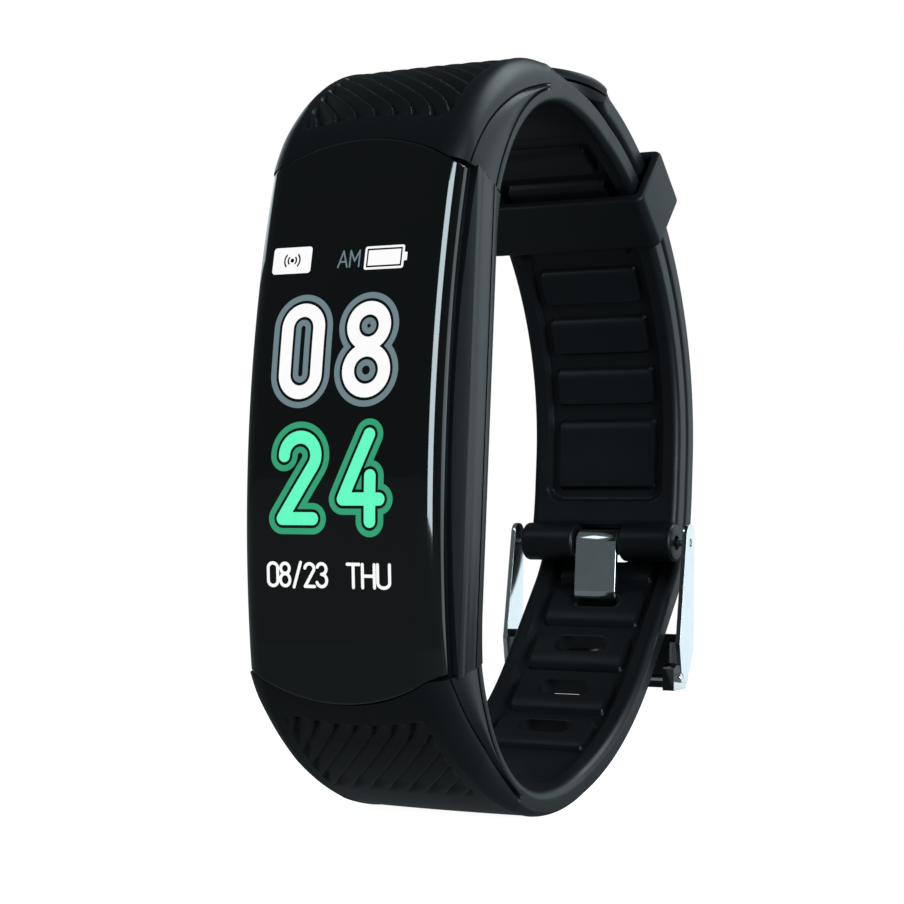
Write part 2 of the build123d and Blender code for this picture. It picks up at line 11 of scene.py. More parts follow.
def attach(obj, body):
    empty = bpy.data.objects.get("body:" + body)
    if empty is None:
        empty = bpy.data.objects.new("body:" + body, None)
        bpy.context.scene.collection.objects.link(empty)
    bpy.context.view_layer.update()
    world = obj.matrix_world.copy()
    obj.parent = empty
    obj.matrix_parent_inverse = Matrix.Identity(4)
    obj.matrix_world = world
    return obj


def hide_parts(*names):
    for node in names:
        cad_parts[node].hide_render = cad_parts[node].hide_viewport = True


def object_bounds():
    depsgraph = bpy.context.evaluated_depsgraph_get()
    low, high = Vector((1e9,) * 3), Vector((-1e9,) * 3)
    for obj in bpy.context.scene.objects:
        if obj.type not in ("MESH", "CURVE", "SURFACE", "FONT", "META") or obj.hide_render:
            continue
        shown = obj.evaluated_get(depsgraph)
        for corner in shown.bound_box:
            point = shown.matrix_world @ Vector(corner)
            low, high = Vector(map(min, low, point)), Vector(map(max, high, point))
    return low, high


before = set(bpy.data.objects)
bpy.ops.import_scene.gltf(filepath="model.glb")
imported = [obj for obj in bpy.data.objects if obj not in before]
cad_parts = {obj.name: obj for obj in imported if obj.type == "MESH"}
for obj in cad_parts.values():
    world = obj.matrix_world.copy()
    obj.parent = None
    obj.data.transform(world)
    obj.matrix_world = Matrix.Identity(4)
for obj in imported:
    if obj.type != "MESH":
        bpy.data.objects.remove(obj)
cad_low, cad_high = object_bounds()
MM = 0.001

# ---------------------------------------------------------------- studio
# The camera stands to the right of the display and a little below its middle, and looks slightly up.
# A pale floor lies under the loop, with soft boxes above, to the right and behind.
EYE = (0.0962, -0.1916, -0.0198)
camera_data = bpy.data.cameras.new("camera")
camera_data.lens = 86.18
camera_data.sensor_width = 36
camera = bpy.data.objects.new("camera", camera_data)
bpy.context.scene.collection.objects.link(camera)
lean = Matrix.Rotation(radians(4.8), 4, "X")
turn = Matrix.Rotation(radians(28), 4, "Z")
tilt = Matrix.Rotation(radians(91), 4, "X")
camera.matrix_world = Matrix.Translation(EYE) @ lean @ turn @ tilt
bpy.context.scene.camera = camera


def softbox(name, place, width, height, power):
    """A rectangular light that faces the middle of the loop."""
    lamp = bpy.data.lights.new(name, "AREA")
    lamp.shape = "RECTANGLE"
    lamp.size = width
    lamp.size_y = height
    lamp.energy = power
    lamp.color = (0.80, 0.95, 1.0)
    light = bpy.data.objects.new(name, lamp)
    light.location = place
    light.rotation_euler = (-Vector(place)).to_track_quat("-Z", "Y").to_euler()
    bpy.context.scene.collection.objects.link(light)


softbox("overhead", (0.25, 0.35, 0.48), 0.30, 0.30, 1.6)
softbox("right_strip", (0.42, -0.22, 0.03), 0.20, 0.46, 3.2)
softbox("right_back", (0.30, 0.50, 0.06), 0.50, 0.60, 1.0)
softbox("tang_card", (-0.027, -0.018, 0.0275), 0.022, 0.022, 0.0022)


class Paint:
    """A socket in a node tree. Arithmetic on it adds Math nodes, and node() adds any other."""

    def __init__(self, tree, socket=None):
        self.tree = tree
        self.socket = socket

    def node(self, kind, settings=None, values=None, out=0):
        """Add a node: settings first, then values or links of its sockets. Gives one output."""
        made = self.tree.nodes.new(kind)
        for key, value in (settings or {}).items():
            setattr(made, key, value)
        for key, value in (values or {}).items():
            if isinstance(value, Paint):
                self.tree.links.new(value.socket, made.inputs[key])
            else:
                made.inputs[key].default_value = value
        return Paint(self.tree, made.outputs[out])

    def math(self, operation, *values):
        return self.node("ShaderNodeMath", {"operation": operation}, dict(enumerate(values)))

    def __add__(self, other):
        return self.math("ADD", self, other)

    __radd__ = __add__

    def __sub__(self, other):
        return self.math("SUBTRACT", self, other)

    def __rsub__(self, other):
        return self.math("SUBTRACT", other, self)

    def __mul__(self, other):
        return self.math("MULTIPLY", self, other)

    __rmul__ = __mul__

    def mix(self, low, high):
        """Colour low where this is 0 and colour high where it is 1."""
        colours = {0: self, 6: (*low, 1.0), 7: (*high, 1.0)}
        return self.node("ShaderNodeMix", {"data_type": "RGBA"}, colours, out=2)

    def noise(self, scale, detail=3.0):
        """Fine noise over this place, from 0 to 1."""
        values = {"Vector": self, "Scale": scale, "Detail": detail}
        return self.node("ShaderNodeTexNoise", None, values)

    def bump(self, strength, distance):
        """A normal roughened by this height."""
        values = {"Height": self, "Strength": strength, "Distance": distance}
        return self.node("ShaderNodeBump", None, values)


class Finish:
    """A material with one Principled shader: fixed values first, then wires into its sockets."""

    def __init__(self, name, **fixed):
        self.material = bpy.data.materials.new(name)
        self.material.use_nodes = True
        self.tree = self.material.node_tree
        self.shader = self.tree.nodes["Principled BSDF"]
        for key, value in fixed.items():
            self.shader.inputs[key.replace("_", " ")].default_value = value
        self.place = Paint(self.tree).node("ShaderNodeTexCoord", out="Object")

    def wire(self, socket, paint):
        self.tree.links.new(paint.socket, self.shader.inputs[socket])


def studio_floor():
    """The pale table top under the loop."""
    finish = Finish("floor_paper", Roughness=0.9, Specular_IOR_Level=0.0, Emission_Strength=0.95)
    seen = finish.place.node("ShaderNodeLightPath", out="Is Camera Ray")
    paper = finish.place.noise(30)
    finish.wire("Base Color", (seen * (0.95 + 0.05 * paper)).mix((0.03, 0.03, 0.03), (0.80, 0.80, 0.80)))
    finish.wire("Emission Color", seen.mix((0.13, 0.15, 0.16), (1, 1, 1)))
    reach = 3.0
    z = cad_low.z
    corners = [(-reach, -reach, z), (reach, -reach, z), (reach, reach, z), (-reach, reach, z)]
    mesh = bpy.data.meshes.new("floor")
    mesh.from_pydata(corners, [], [(0, 1, 2, 3)])
    mesh.materials.append(finish.material)
    floor = bpy.data.objects.new("floor", mesh)
    bpy.context.scene.collection.objects.link(floor)


studio_floor()

# The backdrop is white to the eye and dim to the object, so that black parts stay black.
world = bpy.data.worlds.new("studio")
bpy.context.scene.world = world
world.use_nodes = True
sky = Paint(world.node_tree)
world.node_tree.nodes.clear()
seen = sky.node("ShaderNodeBackground", None, {"Color": (1, 1, 1, 1), "Strength": 1.0})
glow = sky.node("ShaderNodeBackground", None, {"Color": (0.8, 0.95, 1, 1), "Strength": 0.11})
eye_ray = sky.node("ShaderNodeLightPath", out="Is Camera Ray")
backdrop = sky.node("ShaderNodeMixShader", None, {0: eye_ray, 1: glow, 2: seen})
world_output = world.node_tree.nodes.new("ShaderNodeOutputWorld")
world.node_tree.links.new(backdrop.socket, world_output.inputs["Surface"])
bpy.context.scene.view_settings.view_transform = "Standard"

# ---------------------------------------------------------------- rubber straps
# Two moulded rubber straps. Each is thick at the case, thins to 2.4 mm round the wrist, and has
# a rounded edge, a ribbed patch outside by the lens and a tray with raised slats inside.


def rubber(name, dark, light, roughness):
    """Moulded black rubber with a fine matt grain and faint handling marks."""
    finish = Finish(name, Specular_IOR_Level=0.27)
    grain = finish.place.noise(7000, 2)
    marks = finish.place.noise(260, 4)
    finish.wire("Base Color", marks.mix(dark, light))
    finish.wire("Roughness", roughness + 0.10 * marks + 0.05 * grain)
    finish.wire("Normal", (0.7 * grain + 0.3 * marks).bump(0.25, 0.00003))
    return finish.material


strap_rubber = rubber("strap_rubber", (0.0045, 0.0055, 0.0065), (0.0075, 0.0088, 0.0105), 0.32)

thickness = 2.4
loop_y = -7.0
back_z = 1.7
front_z = 16.2
back_radius = 30.8
front_radius = 16.3
taper = ((-22.0, 10.0), (3.0, 8.6))
rim = 1.3
line_width = 0.28


def arc(center, radius, start, end):
    """Points of an arc in the Y, Z plane, for shares of its length."""

    def points(share):
        angle = np.radians(start + (end - start) * share)
        return np.stack((center[0] + radius * np.cos(angle), center[1] + radius * np.sin(angle)), -1)

    return points


def line(first, last):
    """Points of a straight stretch in the Y, Z plane, for shares of its length."""

    def points(share):
        return np.outer(1 - share, first) + np.outer(share, last)

    return points


class Run:
    """A strap from the side: pairs of stretches of its inner and outer face, joined end to end."""

    def __init__(self, stretches, before=0.0):
        share = np.linspace(0, 1, 600)
        self.inner = np.concatenate([inner(share) for inner, outer in stretches])
        self.outer = np.concatenate([outer(share) for inner, outer in stretches])
        steps = np.linalg.norm(np.diff(self.inner, axis=0), axis=1)
        self.length = np.concatenate(([0.0], np.cumsum(steps))) - before

    def read(self, table, length):
        """A column of a table at each length along the inner face."""
        return np.interp(length, self.length, table)

    def face(self, length, depth):
        """Points at each length along the inner face, depth below the outer face, and the room there."""
        inner = np.stack([self.read(self.inner[:, k], length) for k in (0, 1)], -1)
        outer = np.stack([self.read(self.outer[:, k], length) for k in (0, 1)], -1)
        through = inner - outer
        room = np.linalg.norm(through, axis=-1)
        return outer + through / room[..., None] * depth[..., None], room


def half_width(y, narrow):
    """Half the strap's width where it is y deep: full at the case, narrower round the back."""
    return np.interp(y, (-31.5, -28.5, *(stop[0] for stop in taper)), (9.6, 10.0, taper[0][1], narrow))


def soft(value, width):
    """1 well inside, where value is below 0, and 0 outside, with a rounded step of this width."""
    share = np.clip(0.5 - value / width, 0, 1)
    return share * share * (3 - 2 * share)


def box_edge(u, v, half_u, half_v, radius):
    """Signed distance to the edge of a rectangle with rounded corners."""
    du = np.abs(u) - half_u + radius
    dv = np.abs(v) - half_v + radius
    outside = np.hypot(np.maximum(du, 0), np.maximum(dv, 0))
    return outside + np.minimum(np.maximum(du, dv), 0) - radius


def trim(u, v, edge):
    """Keep the grid cells inside edge, and pull the corners along the cut onto it."""
    middle_u = (u[1:, 1:] + u[1:, :-1] + u[:-1, 1:] + u[:-1, :-1]) / 4
    middle_v = (v[1:, 1:] + v[1:, :-1] + v[:-1, 1:] + v[:-1, :-1]) / 4
    keep = edge(middle_u, middle_v) < 0
    around = np.pad(keep, 1, constant_values=True)
    corners = np.stack((around[1:, 1:], around[1:, :-1], around[:-1, 1:], around[:-1, :-1]))
    on_cut = corners.any(0) & ~corners.all(0)
    off = edge(u, v)
    nudge = 0.001
    slope_u = (edge(u + nudge, v) - off) / nudge
    slope_v = (edge(u, v + nudge) - off) / nudge
    return keep, np.where(on_cut, u - off * slope_u, u), np.where(on_cut, v - off * slope_v, v)


def walls(keep, top, bottom):
    """Quads that join two copies of a trimmed grid round its holes."""
    made = []
    for i, j in np.argwhere(keep[1:] != keep[:-1]):
        made.append((top[i + 1, j], top[i + 1, j + 1], bottom[i + 1, j + 1], bottom[i + 1, j]))
    for i, j in np.argwhere(keep[:, 1:] != keep[:, :-1]):
        made.append((top[i, j + 1], top[i + 1, j + 1], bottom[i + 1, j + 1], bottom[i, j + 1]))
    return made


def cells(index, keep):
    """Quads of the kept cells of a grid of point numbers."""
    quads = np.stack((index[:-1, :-1], index[:-1, 1:], index[1:, 1:], index[1:, :-1]), -1)
    return quads[keep].tolist()


def solid(name, points, faces, finish, sharp=35):
    """A mesh piece from points in millimetres, without loose points, its normals outward."""
    mesh = bpy.data.meshes.new(name)
    used, numbers = np.unique(np.concatenate([np.ravel(f) for f in faces]), return_inverse=True)
    lengths = np.cumsum([len(f) for f in faces])[:-1]
    mesh.from_pydata((points[used] * MM).tolist(), [], [f.tolist() for f in np.split(numbers, lengths)])
    mesh.materials.append(finish)
    work = bmesh.new()
    work.from_mesh(mesh)
    bmesh.ops.recalc_face_normals(work, faces=work.faces)
    work.to_mesh(mesh)
    work.free()
    mesh.shade_smooth()
    mesh.set_sharp_from_angle(angle=radians(sharp))
    piece = bpy.data.objects.new(name, mesh)
    bpy.context.scene.collection.objects.link(piece)
    return piece


def edge_profile(room, line_depth, cheek, inset_out, inset_in):
    """The strap's edge in section, for each row: depth below the outer face, and how far short of full width.

    From outside in: a rounded shoulder, a fine line, the cheek that carries on the case's side,
    a second fine line, and the rounded rim on the wrist side.
    """
    depth = []
    short = []

    def add(at, inward):
        depth.append(at)
        short.append(inward)

    for angle in np.linspace(0, pi / 2, 11)[1:]:
        add(line_depth * (1 - cos(angle)), inset_out * (1 - sin(angle)))
    for share, dip in ((0.25, 0.7), (0.5, 1.0), (0.75, 0.7), (1.0, 0.0)):
        add(line_depth + line_width * share, 0.32 * dip * cheek)
    start = line_depth + line_width
    end = room - rim - line_width
    for share in np.linspace(0, 1, 9)[1:]:
        add(start + (end - start) * share, -0.30 * sin(pi * share) * cheek)
    for share, dip in ((0.25, 0.7), (0.5, 1.0), (0.75, 0.7), (1.0, 0.0)):
        add(end + line_width * share, 0.32 * dip * cheek)
    add(room - rim * 0.75, -0.05 * cheek)
    for angle in np.linspace(0, pi / 2, 9)[:-1]:
        add(room - 0.62 * rim * (1 - sin(angle)), inset_in * (1 - cos(angle)))
    return np.stack(depth, 1), np.stack(short, 1)


def strap(name, run, rows, narrow, tip_row, outer_relief, inner_relief, slots, end_shape):
    """Build one strap as a closed skin round its run, with slots right through it."""
    columns = 129
    across = np.linspace(1, -1, columns)
    length = np.repeat(rows[:, None], columns, 1)
    zero = np.zeros(len(rows))
    _, room = run.face(rows, zero)
    toward_tip = np.clip((rows - rows[0]) / (tip_row - rows[0]), 0, 1)
    cheek = np.clip((1 - toward_tip) * 12, 0, 1)
    inset_out = 0.9 + 1.5 * (1 - toward_tip) ** 0.5
    inset_in = np.full(len(rows), 0.9)
    line_depth = 1.9 + (room - rim - 2 * line_width - 0.12 - 1.9) * toward_tip ** 1.6

    outer_y = run.face(rows, zero)[0][:, 0]
    inner_y = run.face(rows, room)[0][:, 0]
    outer_x = across * (half_width(outer_y, narrow) - inset_out)[:, None]
    inner_x = across * (half_width(inner_y, narrow) - inset_in)[:, None]
    keep, outer_s, outer_x = trim(length, outer_x, lambda s, x: -slots(s, x))
    _, inner_s, inner_x = trim(length, inner_x, lambda s, x: -slots(s, x))

    depth, short = edge_profile(room, line_depth, cheek, inset_out, inset_in)
    side_s = np.repeat(rows[:, None], depth.shape[1], 1)
    side_y = run.face(side_s, depth)[0][..., 0]
    side_x = half_width(side_y, narrow) - short

    grid_s = np.concatenate((outer_s, side_s, inner_s[:, ::-1], side_s[:, ::-1]), 1)
    grid_x = np.concatenate((outer_x, -side_x, inner_x[:, ::-1], side_x[:, ::-1]), 1)
    _, face_room = run.face(grid_s, np.zeros_like(grid_s))
    outer_d = outer_relief(outer_s, outer_x)
    inner_d = face_room[:, columns + depth.shape[1]:][:, :columns] - inner_relief(inner_s, inner_x)[:, ::-1]
    grid_d = np.concatenate((outer_d, depth, inner_d, depth[:, ::-1]), 1)
    grid_s, squeeze = end_shape(grid_s, grid_x, grid_d)
    grid_d = face_room / 2 + (grid_d - face_room / 2) * squeeze
    place, _ = run.face(grid_s, grid_d)
    points = np.stack((grid_x, place[..., 0], place[..., 1]), -1)

    count, around = grid_x.shape
    index = np.arange(count * around).reshape(count, around)
    ring = np.concatenate((index, index[:, :1]), 1)
    inner_start = columns + depth.shape[1]
    whole = np.ones((count - 1, around), bool)
    whole[:, : columns - 1] = keep
    whole[:, inner_start : inner_start + columns - 1] = keep[:, ::-1]
    top = index[:, :columns]
    bottom = index[:, inner_start : inner_start + columns][:, ::-1]
    faces = cells(ring, whole) + walls(keep, top, bottom)
    points = points.reshape(-1, 3)
    for row, ends in ((0, index[0]), (count - 1, index[-1])):
        hub = len(points)
        points = np.vstack((points, points[ends].mean(0)))
        faces += [(ends[k], ends[(k + 1) % around], hub) for k in range(around)]
    return solid(name, points, faces, strap_rubber)


def rows_between(*stops):
    """Row positions from stop to stop, each stretch with its own spacing: start, spacing, stop, spacing, stop."""
    made = []
    for k in range(0, len(stops) - 2, 2):
        start, spacing, end = stops[k : k + 3]
        made.append(np.linspace(start, end, max(2, round((end - start) / spacing) + 1))[:-1])
    return np.concatenate(made + [[stops[-1]]])


def ribs(along, x, steep, limit, pitch, first):
    """Depth of the curved ribs outside a root: each has a steep lit wall and a long gentle one."""
    knee = (limit / (1.5 * steep)) ** 2
    drift = np.where(
        along < knee,
        steep * np.clip(along, 0, None) ** 1.5,
        steep * knee**1.5 + limit * (along - knee),
    )
    phase = np.mod((x + drift - first) / pitch, 1.0)
    wall = np.clip(phase / 0.07, 0, 1)
    fall = np.clip(1 - (phase - 0.07) / 0.75, 0, 1)
    return wall * fall


def slats(s, x, starts, long, slope, half):
    """Height of the raised slats in a tray, from 0 on the floor to 1: rounded at the start, crisp at the end."""
    height = np.zeros_like(s)
    for start, reach in zip(starts, long):
        t = s - start
        rise = np.sqrt(np.clip(1 - (1 - np.clip(t / slope, 0, 1)) ** 2, 0, 1))
        inside = soft(box_edge(t - reach / 2, x, reach / 2, half, 0.5), 0.22)
        height = np.maximum(height, rise * inside)
    return height


# Upper strap: from the case over the crest and down the back to the spring bar.
end_angle = 180 - degrees(asin(4.6 / front_radius))
crest = (-12.0, 15.1)
crest_radius = 20.4
crest_start = degrees(atan2(22.64 - crest[1], -30.9 - crest[0]))
meet = 180 - degrees(acos(5.0 / front_radius))
over_top = (-2.38, 34.58)
share_top = (loop_y - crest[0]) / (over_top[0] - crest[0])
above_loop = (loop_y, 35.5 + (over_top[1] - 35.5) * share_top)
upper_run = Run(
    [
        (arc((loop_y, front_z), front_radius, end_angle, meet), arc(crest, crest_radius, crest_start, 90)),
        (arc((loop_y, front_z), front_radius, meet, 90), line((crest[0], 35.5), above_loop)),
        (arc((loop_y, back_z), back_radius, 90, 82), line(above_loop, over_top)),
        (
            arc((loop_y, back_z), back_radius, 82, 0),
            arc((loop_y, back_z), back_radius + thickness, 82, 0),
        ),
        (line((23.8, 1.7), (23.8, -1.7)), line((26.2, 1.7), (26.2, -1.7))),
        (
            arc((loop_y, -back_z), back_radius, 0, -7.4),
            arc((loop_y, -back_z), back_radius + thickness, 0, -7.4),
        ),
    ]
)
upper_end = upper_run.length[-1]
root_length = front_radius * radians(end_angle - 90)
pad_start = 65.0
upper_starts = [pad_start - 5.59 * k for k in range(6, 0, -1)] + [pad_start]
upper_lengths = [4.0] * 6 + [7.5]


def upper_outside(s, x):
    place, _ = upper_run.face(s, np.zeros_like(s))
    angle = np.degrees(np.arctan2(place[..., 1] - crest[1], place[..., 0] - crest[0]))
    along = np.radians(146.5 - angle) * crest_radius
    side = 7.3 + 0.05 * np.clip(along, 0, 20)
    patch = soft(np.maximum(np.abs(x) - side, -along), 0.35) * soft(along - 17.5, 1.5)
    return 0.12 * (x / 10) ** 2 + 0.5 * patch * ribs(along, x, 0.30, 1.1, 1.95, 1.62)


def upper_inside(s, x):
    tray = soft(box_edge(s - (28.5 + 73.8) / 2, x, (73.8 - 28.5) / 2, 6.7, 1.6), 0.4)
    raised = slats(s, x, upper_starts, upper_lengths, 1.3, 5.5)
    return 0.85 * tray * (1 - 0.88 * raised)


def no_slots(s, x):
    return np.ones_like(s)


def past_lens(run, s, x, depth):
    """How far a root's outer skin is drawn back along its run, so that it meets the lens's bowed end."""
    end_z = 24.9 - lens_bow + np.sqrt(lens_bow**2 - np.clip(np.abs(x), 0, 9.8) ** 2)
    first = run.length < run.length[0] + 8
    pulled = np.interp(end_z, np.abs(run.outer[first, 1]), run.length[first]) - run.length[0]
    return pulled * np.clip(1 - depth / 1.2, 0, 1) * np.clip(1 - (s - run.length[0]) / 6, 0, 1)


lens_bow = 18.0


def upper_ends(s, x, depth):
    squeeze = np.sqrt(np.clip(1 - (1 - np.clip((upper_end - s) / 0.6, 0, 1)) ** 2, 0, 1))
    return s + past_lens(upper_run, s, x, depth), 0.6 + 0.4 * squeeze


upper_strap = strap(
    "upper_strap",
    upper_run,
    rows_between(0, 0.13, 18, 0.2, 29, 0.17, 74, 0.2, upper_end),
    8.6,
    15.5,
    upper_outside,
    upper_inside,
    no_slots,
    upper_ends,
)
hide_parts("strap_upper")
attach(upper_strap, "band")

# Lower strap: from the case round the bottom, out through the buckle and up over the upper strap.
shoulder = (loop_y, -5.4)
shoulder_radius = 29.5
shoulder_start = -180 + degrees(atan2(22.64 + shoulder[1], 30.9 + shoulder[0]))
leave = -37.0
lift_radius = 14.0
tail_radius = 33.8
run_out = sqrt((tail_radius - lift_radius) ** 2 - (back_radius - lift_radius) ** 2)
lift_turn = degrees(atan2(run_out, back_radius - lift_radius))
tail_turn = 88.5


def two_faces(center, radius, start, end):
    """The same arc on the inner and on the outer face."""
    return arc(center, radius, start, end), arc(center, radius + thickness, start, end)


def two_lines(first, last, angle):
    """The same straight stretch on the inner and on the outer face, which looks toward angle."""
    out = thickness * np.array((cos(radians(angle)), sin(radians(angle))))
    return line(first, last), line(np.array(first) + out, np.array(last) + out)


outward = np.array((cos(radians(leave)), sin(radians(leave))))
onward = np.array((-outward[1], outward[0]))
leave_point = np.array((loop_y, -back_z)) + back_radius * outward
lift_point = leave_point + onward * run_out
lift_center = lift_point - lift_radius * outward
settle_center = (loop_y, -back_z)
lower_run = Run(
    [
        (
            arc((loop_y, -front_z), front_radius, -end_angle, -90),
            arc(shoulder, shoulder_radius, shoulder_start, -90),
        ),
        two_faces((loop_y, -back_z), back_radius, -90, leave),
        two_lines(leave_point, lift_point, leave),
        two_faces(lift_center, lift_radius, leave, leave + lift_turn),
        two_faces(settle_center, tail_radius, leave + lift_turn, 0),
        two_lines((loop_y + tail_radius, -back_z), (loop_y + tail_radius, back_z), 0),
        two_faces((loop_y, back_z), tail_radius, 0, tail_turn),
    ],
    before=root_length,
)
hole_pitch = 6.0
tang_hole = 36.8
holes = [tang_hole + hole_pitch * k for k in range(-3, 7)]
tip_cap = 9.1


def lower_outside(s, x):
    place, _ = lower_run.face(s, np.zeros_like(s))
    angle = np.degrees(np.arctan2(place[..., 1] - shoulder[1], place[..., 0] - shoulder[0]))
    along = np.radians(angle + 136.5) * shoulder_radius
    side = 7.0 + 0.04 * np.clip(along, 0, 20)
    patch = soft(np.maximum(np.abs(x) - side, -along), 0.35) * soft(along - 11.5, 2.5)
    lip = soft(hole_edge(s, x) - 0.05, 0.35)
    return 0.12 * (x / 10) ** 2 * soft(s, 8) + 0.5 * patch * ribs(along, x, 0.26, 0.87, 1.95, 1.69) + 0.15 * lip


def hole_edge(s, x):
    """Distance to the edge of the nearest slot."""
    nearest = np.round(np.clip((s - holes[0]) / hole_pitch, 0, len(holes) - 1)) * hole_pitch + holes[0]
    return box_edge(s - nearest, x, 0.95, 2.85, 0.94)


def lower_inside(s, x):
    tray = soft(box_edge(s - (4.4 + 77.0) / 2, x, (77.0 - 4.4) / 2, 6.3, 2.0), 0.4)
    raised = slats(s, x, [c - 3.2 for c in holes], [4.4] * len(holes), 1.8, 5.3)
    lip = soft(hole_edge(s, x) - 0.05, 0.35)
    return 0.85 * tray * (1 - 0.88 * raised) + 0.12 * lip


def lower_ends(s, x, depth):
    """The tail's tip is a round arc, and it thins to a rounded rim."""
    end = lower_run.length[-1]
    sag = tip_cap - np.sqrt(np.clip(tip_cap**2 - x**2, 0, None))
    share = np.clip((s - (end - 10)) / 10, 0, 1)
    left = 10 * (1 - share)
    squeeze = np.sqrt(np.clip(1 - (1 - np.clip(left / 1.1, 0, 1)) ** 2, 0, 1))
    return s - sag * share + past_lens(lower_run, s, x, depth), 0.12 + 0.88 * squeeze


lower_strap = strap(
    "lower_strap",
    lower_run,
    rows_between(-root_length, 0.14, -5, 0.24, 4, 0.18, 80, 0.3, lower_run.length[-1] - 1.2, 0.1, lower_run.length[-1]),
    8.3,
    -5.4,
    lower_outside,
    lower_inside,
    hole_edge,
    lower_ends,
)
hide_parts("strap_lower")
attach(lower_strap, "band")

# ---------------------------------------------------------------- buckle end of the upper strap
# The upper strap ends in a barrel moulded round the spring bar's steel tube. It is split in the
# middle, where the tang turns on the tube.
barrel_radius = 2.05
barrel_bore = 0.80
barrel_inside = 2.7
barrel_outside = 8.8
bar_circle = 31.1
bar_angle = radians(10.6)
bar_center = np.array((loop_y + bar_circle * cos(bar_angle), -back_z - bar_circle * sin(bar_angle)))


def turned(name, outline, center, finish, sides=64):
    """A closed ring turned about a line along X: outline is its section, as pairs of X and radius."""
    outline = np.array(outline)
    angle = np.linspace(0, 2 * pi, sides, endpoint=False)
    points = np.empty((sides, len(outline), 3))
    points[..., 0] = outline[:, 0]
    points[..., 1] = center[0] + np.outer(np.cos(angle), outline[:, 1])
    points[..., 2] = center[1] + np.outer(np.sin(angle), outline[:, 1])
    index = np.arange(sides * len(outline)).reshape(sides, -1)
    ring = np.pad(index, ((0, 1), (0, 1)), mode="wrap")
    return solid(name, points.reshape(-1, 3), cells(ring, np.ones(index.shape, bool)), finish)


def rounded(first, last, inner, outer, radius):
    """A section with rounded outer corners, as pairs of X and radius."""
    corner = [(radius * (1 - cos(t)), radius * (1 - sin(t))) for t in np.linspace(0, pi / 2, 7)]
    start = [(first + dx, outer - dr) for dx, dr in corner]
    end = [(last - dx, outer - dr) for dx, dr in reversed(corner)]
    middle = [(x, outer) for x in np.linspace(first + radius, last - radius, 10)[1:-1]]
    return start + middle + end + [(last, inner), (first, inner)]


for side, name in ((1, "bar_barrel_right"), (-1, "bar_barrel_left")):
    section = rounded(barrel_inside, barrel_outside, barrel_bore, barrel_radius, 0.35)
    section = [(side * x, r) for x, r in section]
    barrel = turned(name, section, bar_center, strap_rubber)
    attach(barrel, "band")

# ---------------------------------------------------------------- keeper loop
# A moulded rubber ring of rectangular section. It rides on both straps, with its flat outer face
# outside the tail and rounded edges all round.
keeper_direction = np.array((cos(radians(51.5)), sin(radians(51.5))))
keeper_along = np.array((-keeper_direction[1], keeper_direction[0]))
keeper_half_length = 3.3
keeper_rubber = rubber("keeper_rubber", (0.0045, 0.0055, 0.0065), (0.008, 0.0095, 0.011), 0.40)


def around_box(half_x, low, high, radius, count=24):
    """Points round a rectangle with rounded corners, the same number on each side and corner."""
    made = []
    for turn, (cx, cr) in enumerate(((1, 1), (-1, 1), (-1, -1), (1, -1))):
        for t in np.linspace(0, pi / 2, 9):
            angle = turn * pi / 2 + t
            x = cx * (half_x - radius) + radius * cos(angle)
            r = (high - radius if cr > 0 else low + radius) + radius * sin(angle)
            made.append((x, r))
    return np.array(made)


def keeper_ring():
    outside = around_box(9.9, 29.3, 37.5, 1.0)
    opening = around_box(8.9, 30.5, 36.5, 0.45)
    wall = []
    edge = 0.38
    for t in np.linspace(0, pi / 2, 6):
        wall.append((1 - edge * (1 - sin(t)), keeper_half_length - edge * (1 - cos(t))))
    for t in np.linspace(keeper_half_length, -keeper_half_length, 12)[1:-1]:
        wall.append((1.0, t))
    for t in np.linspace(0, pi / 2, 6):
        wall.append((1 - edge * (1 - cos(t)), -keeper_half_length + edge * (1 - sin(t))))
    for t in np.linspace(0, pi / 2, 5):
        wall.append((0.3 * (1 - sin(t)), -keeper_half_length + 0.3 * (1 - cos(t))))
    for t in np.linspace(-keeper_half_length, keeper_half_length, 12)[1:-1]:
        wall.append((0.0, t))
    for t in np.linspace(0, pi / 2, 5):
        wall.append((0.3 * (1 - cos(t)), keeper_half_length - 0.3 * (1 - sin(t))))
    return outside, opening, wall


outside, opening, wall = keeper_ring()
share = np.array([w[0] for w in wall])
slide = np.array([w[1] for w in wall])
section = opening[:, None] + (outside - opening)[:, None] * share[None, :, None]
sag = np.where(opening[:, 1] > 33, slide[None].T ** 2 / 73.0, slide[None].T ** 2 / 61.0).T
reach = section[..., 1] - sag * (1 - share)
flat = np.array((loop_y, back_z)) + reach[..., None] * keeper_direction + slide[None, :, None] * keeper_along
keeper_points = np.concatenate((section[..., :1], flat), -1)
index = np.arange(keeper_points.shape[0] * keeper_points.shape[1]).reshape(keeper_points.shape[:2])
ring = np.pad(index, ((0, 1), (0, 1)), mode="wrap")
keeper = solid("keeper", keeper_points.reshape(-1, 3), cells(ring, np.ones(index.shape, bool)), keeper_rubber)
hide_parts("keeper_loop")
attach(keeper, "keeper_loop")

# ---------------------------------------------------------------- case
# Two injection-moulded parts in black ABS: a deep tray and a back cover held by four small steel
# screws through its corners, sealed by a foam gasket.


def dress(node, material, edge=0.0, segments=3):
    """Give a machined or moulded part its finish, and round its sharp edges by this many millimetres."""
    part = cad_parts[node]
    for place in part.material_slots:
        place.material = material
    if edge:
        weld = part.modifiers.new("weld", "WELD")
        weld.merge_threshold = 0.000002
        bevel = part.modifiers.new("edges", "BEVEL")
        bevel.width = edge * MM
        bevel.segments = segments
        bevel.limit_method = "ANGLE"
        bevel.angle_limit = radians(40)
        bevel.harden_normals = True
        bevel.use_clamp_overlap = True


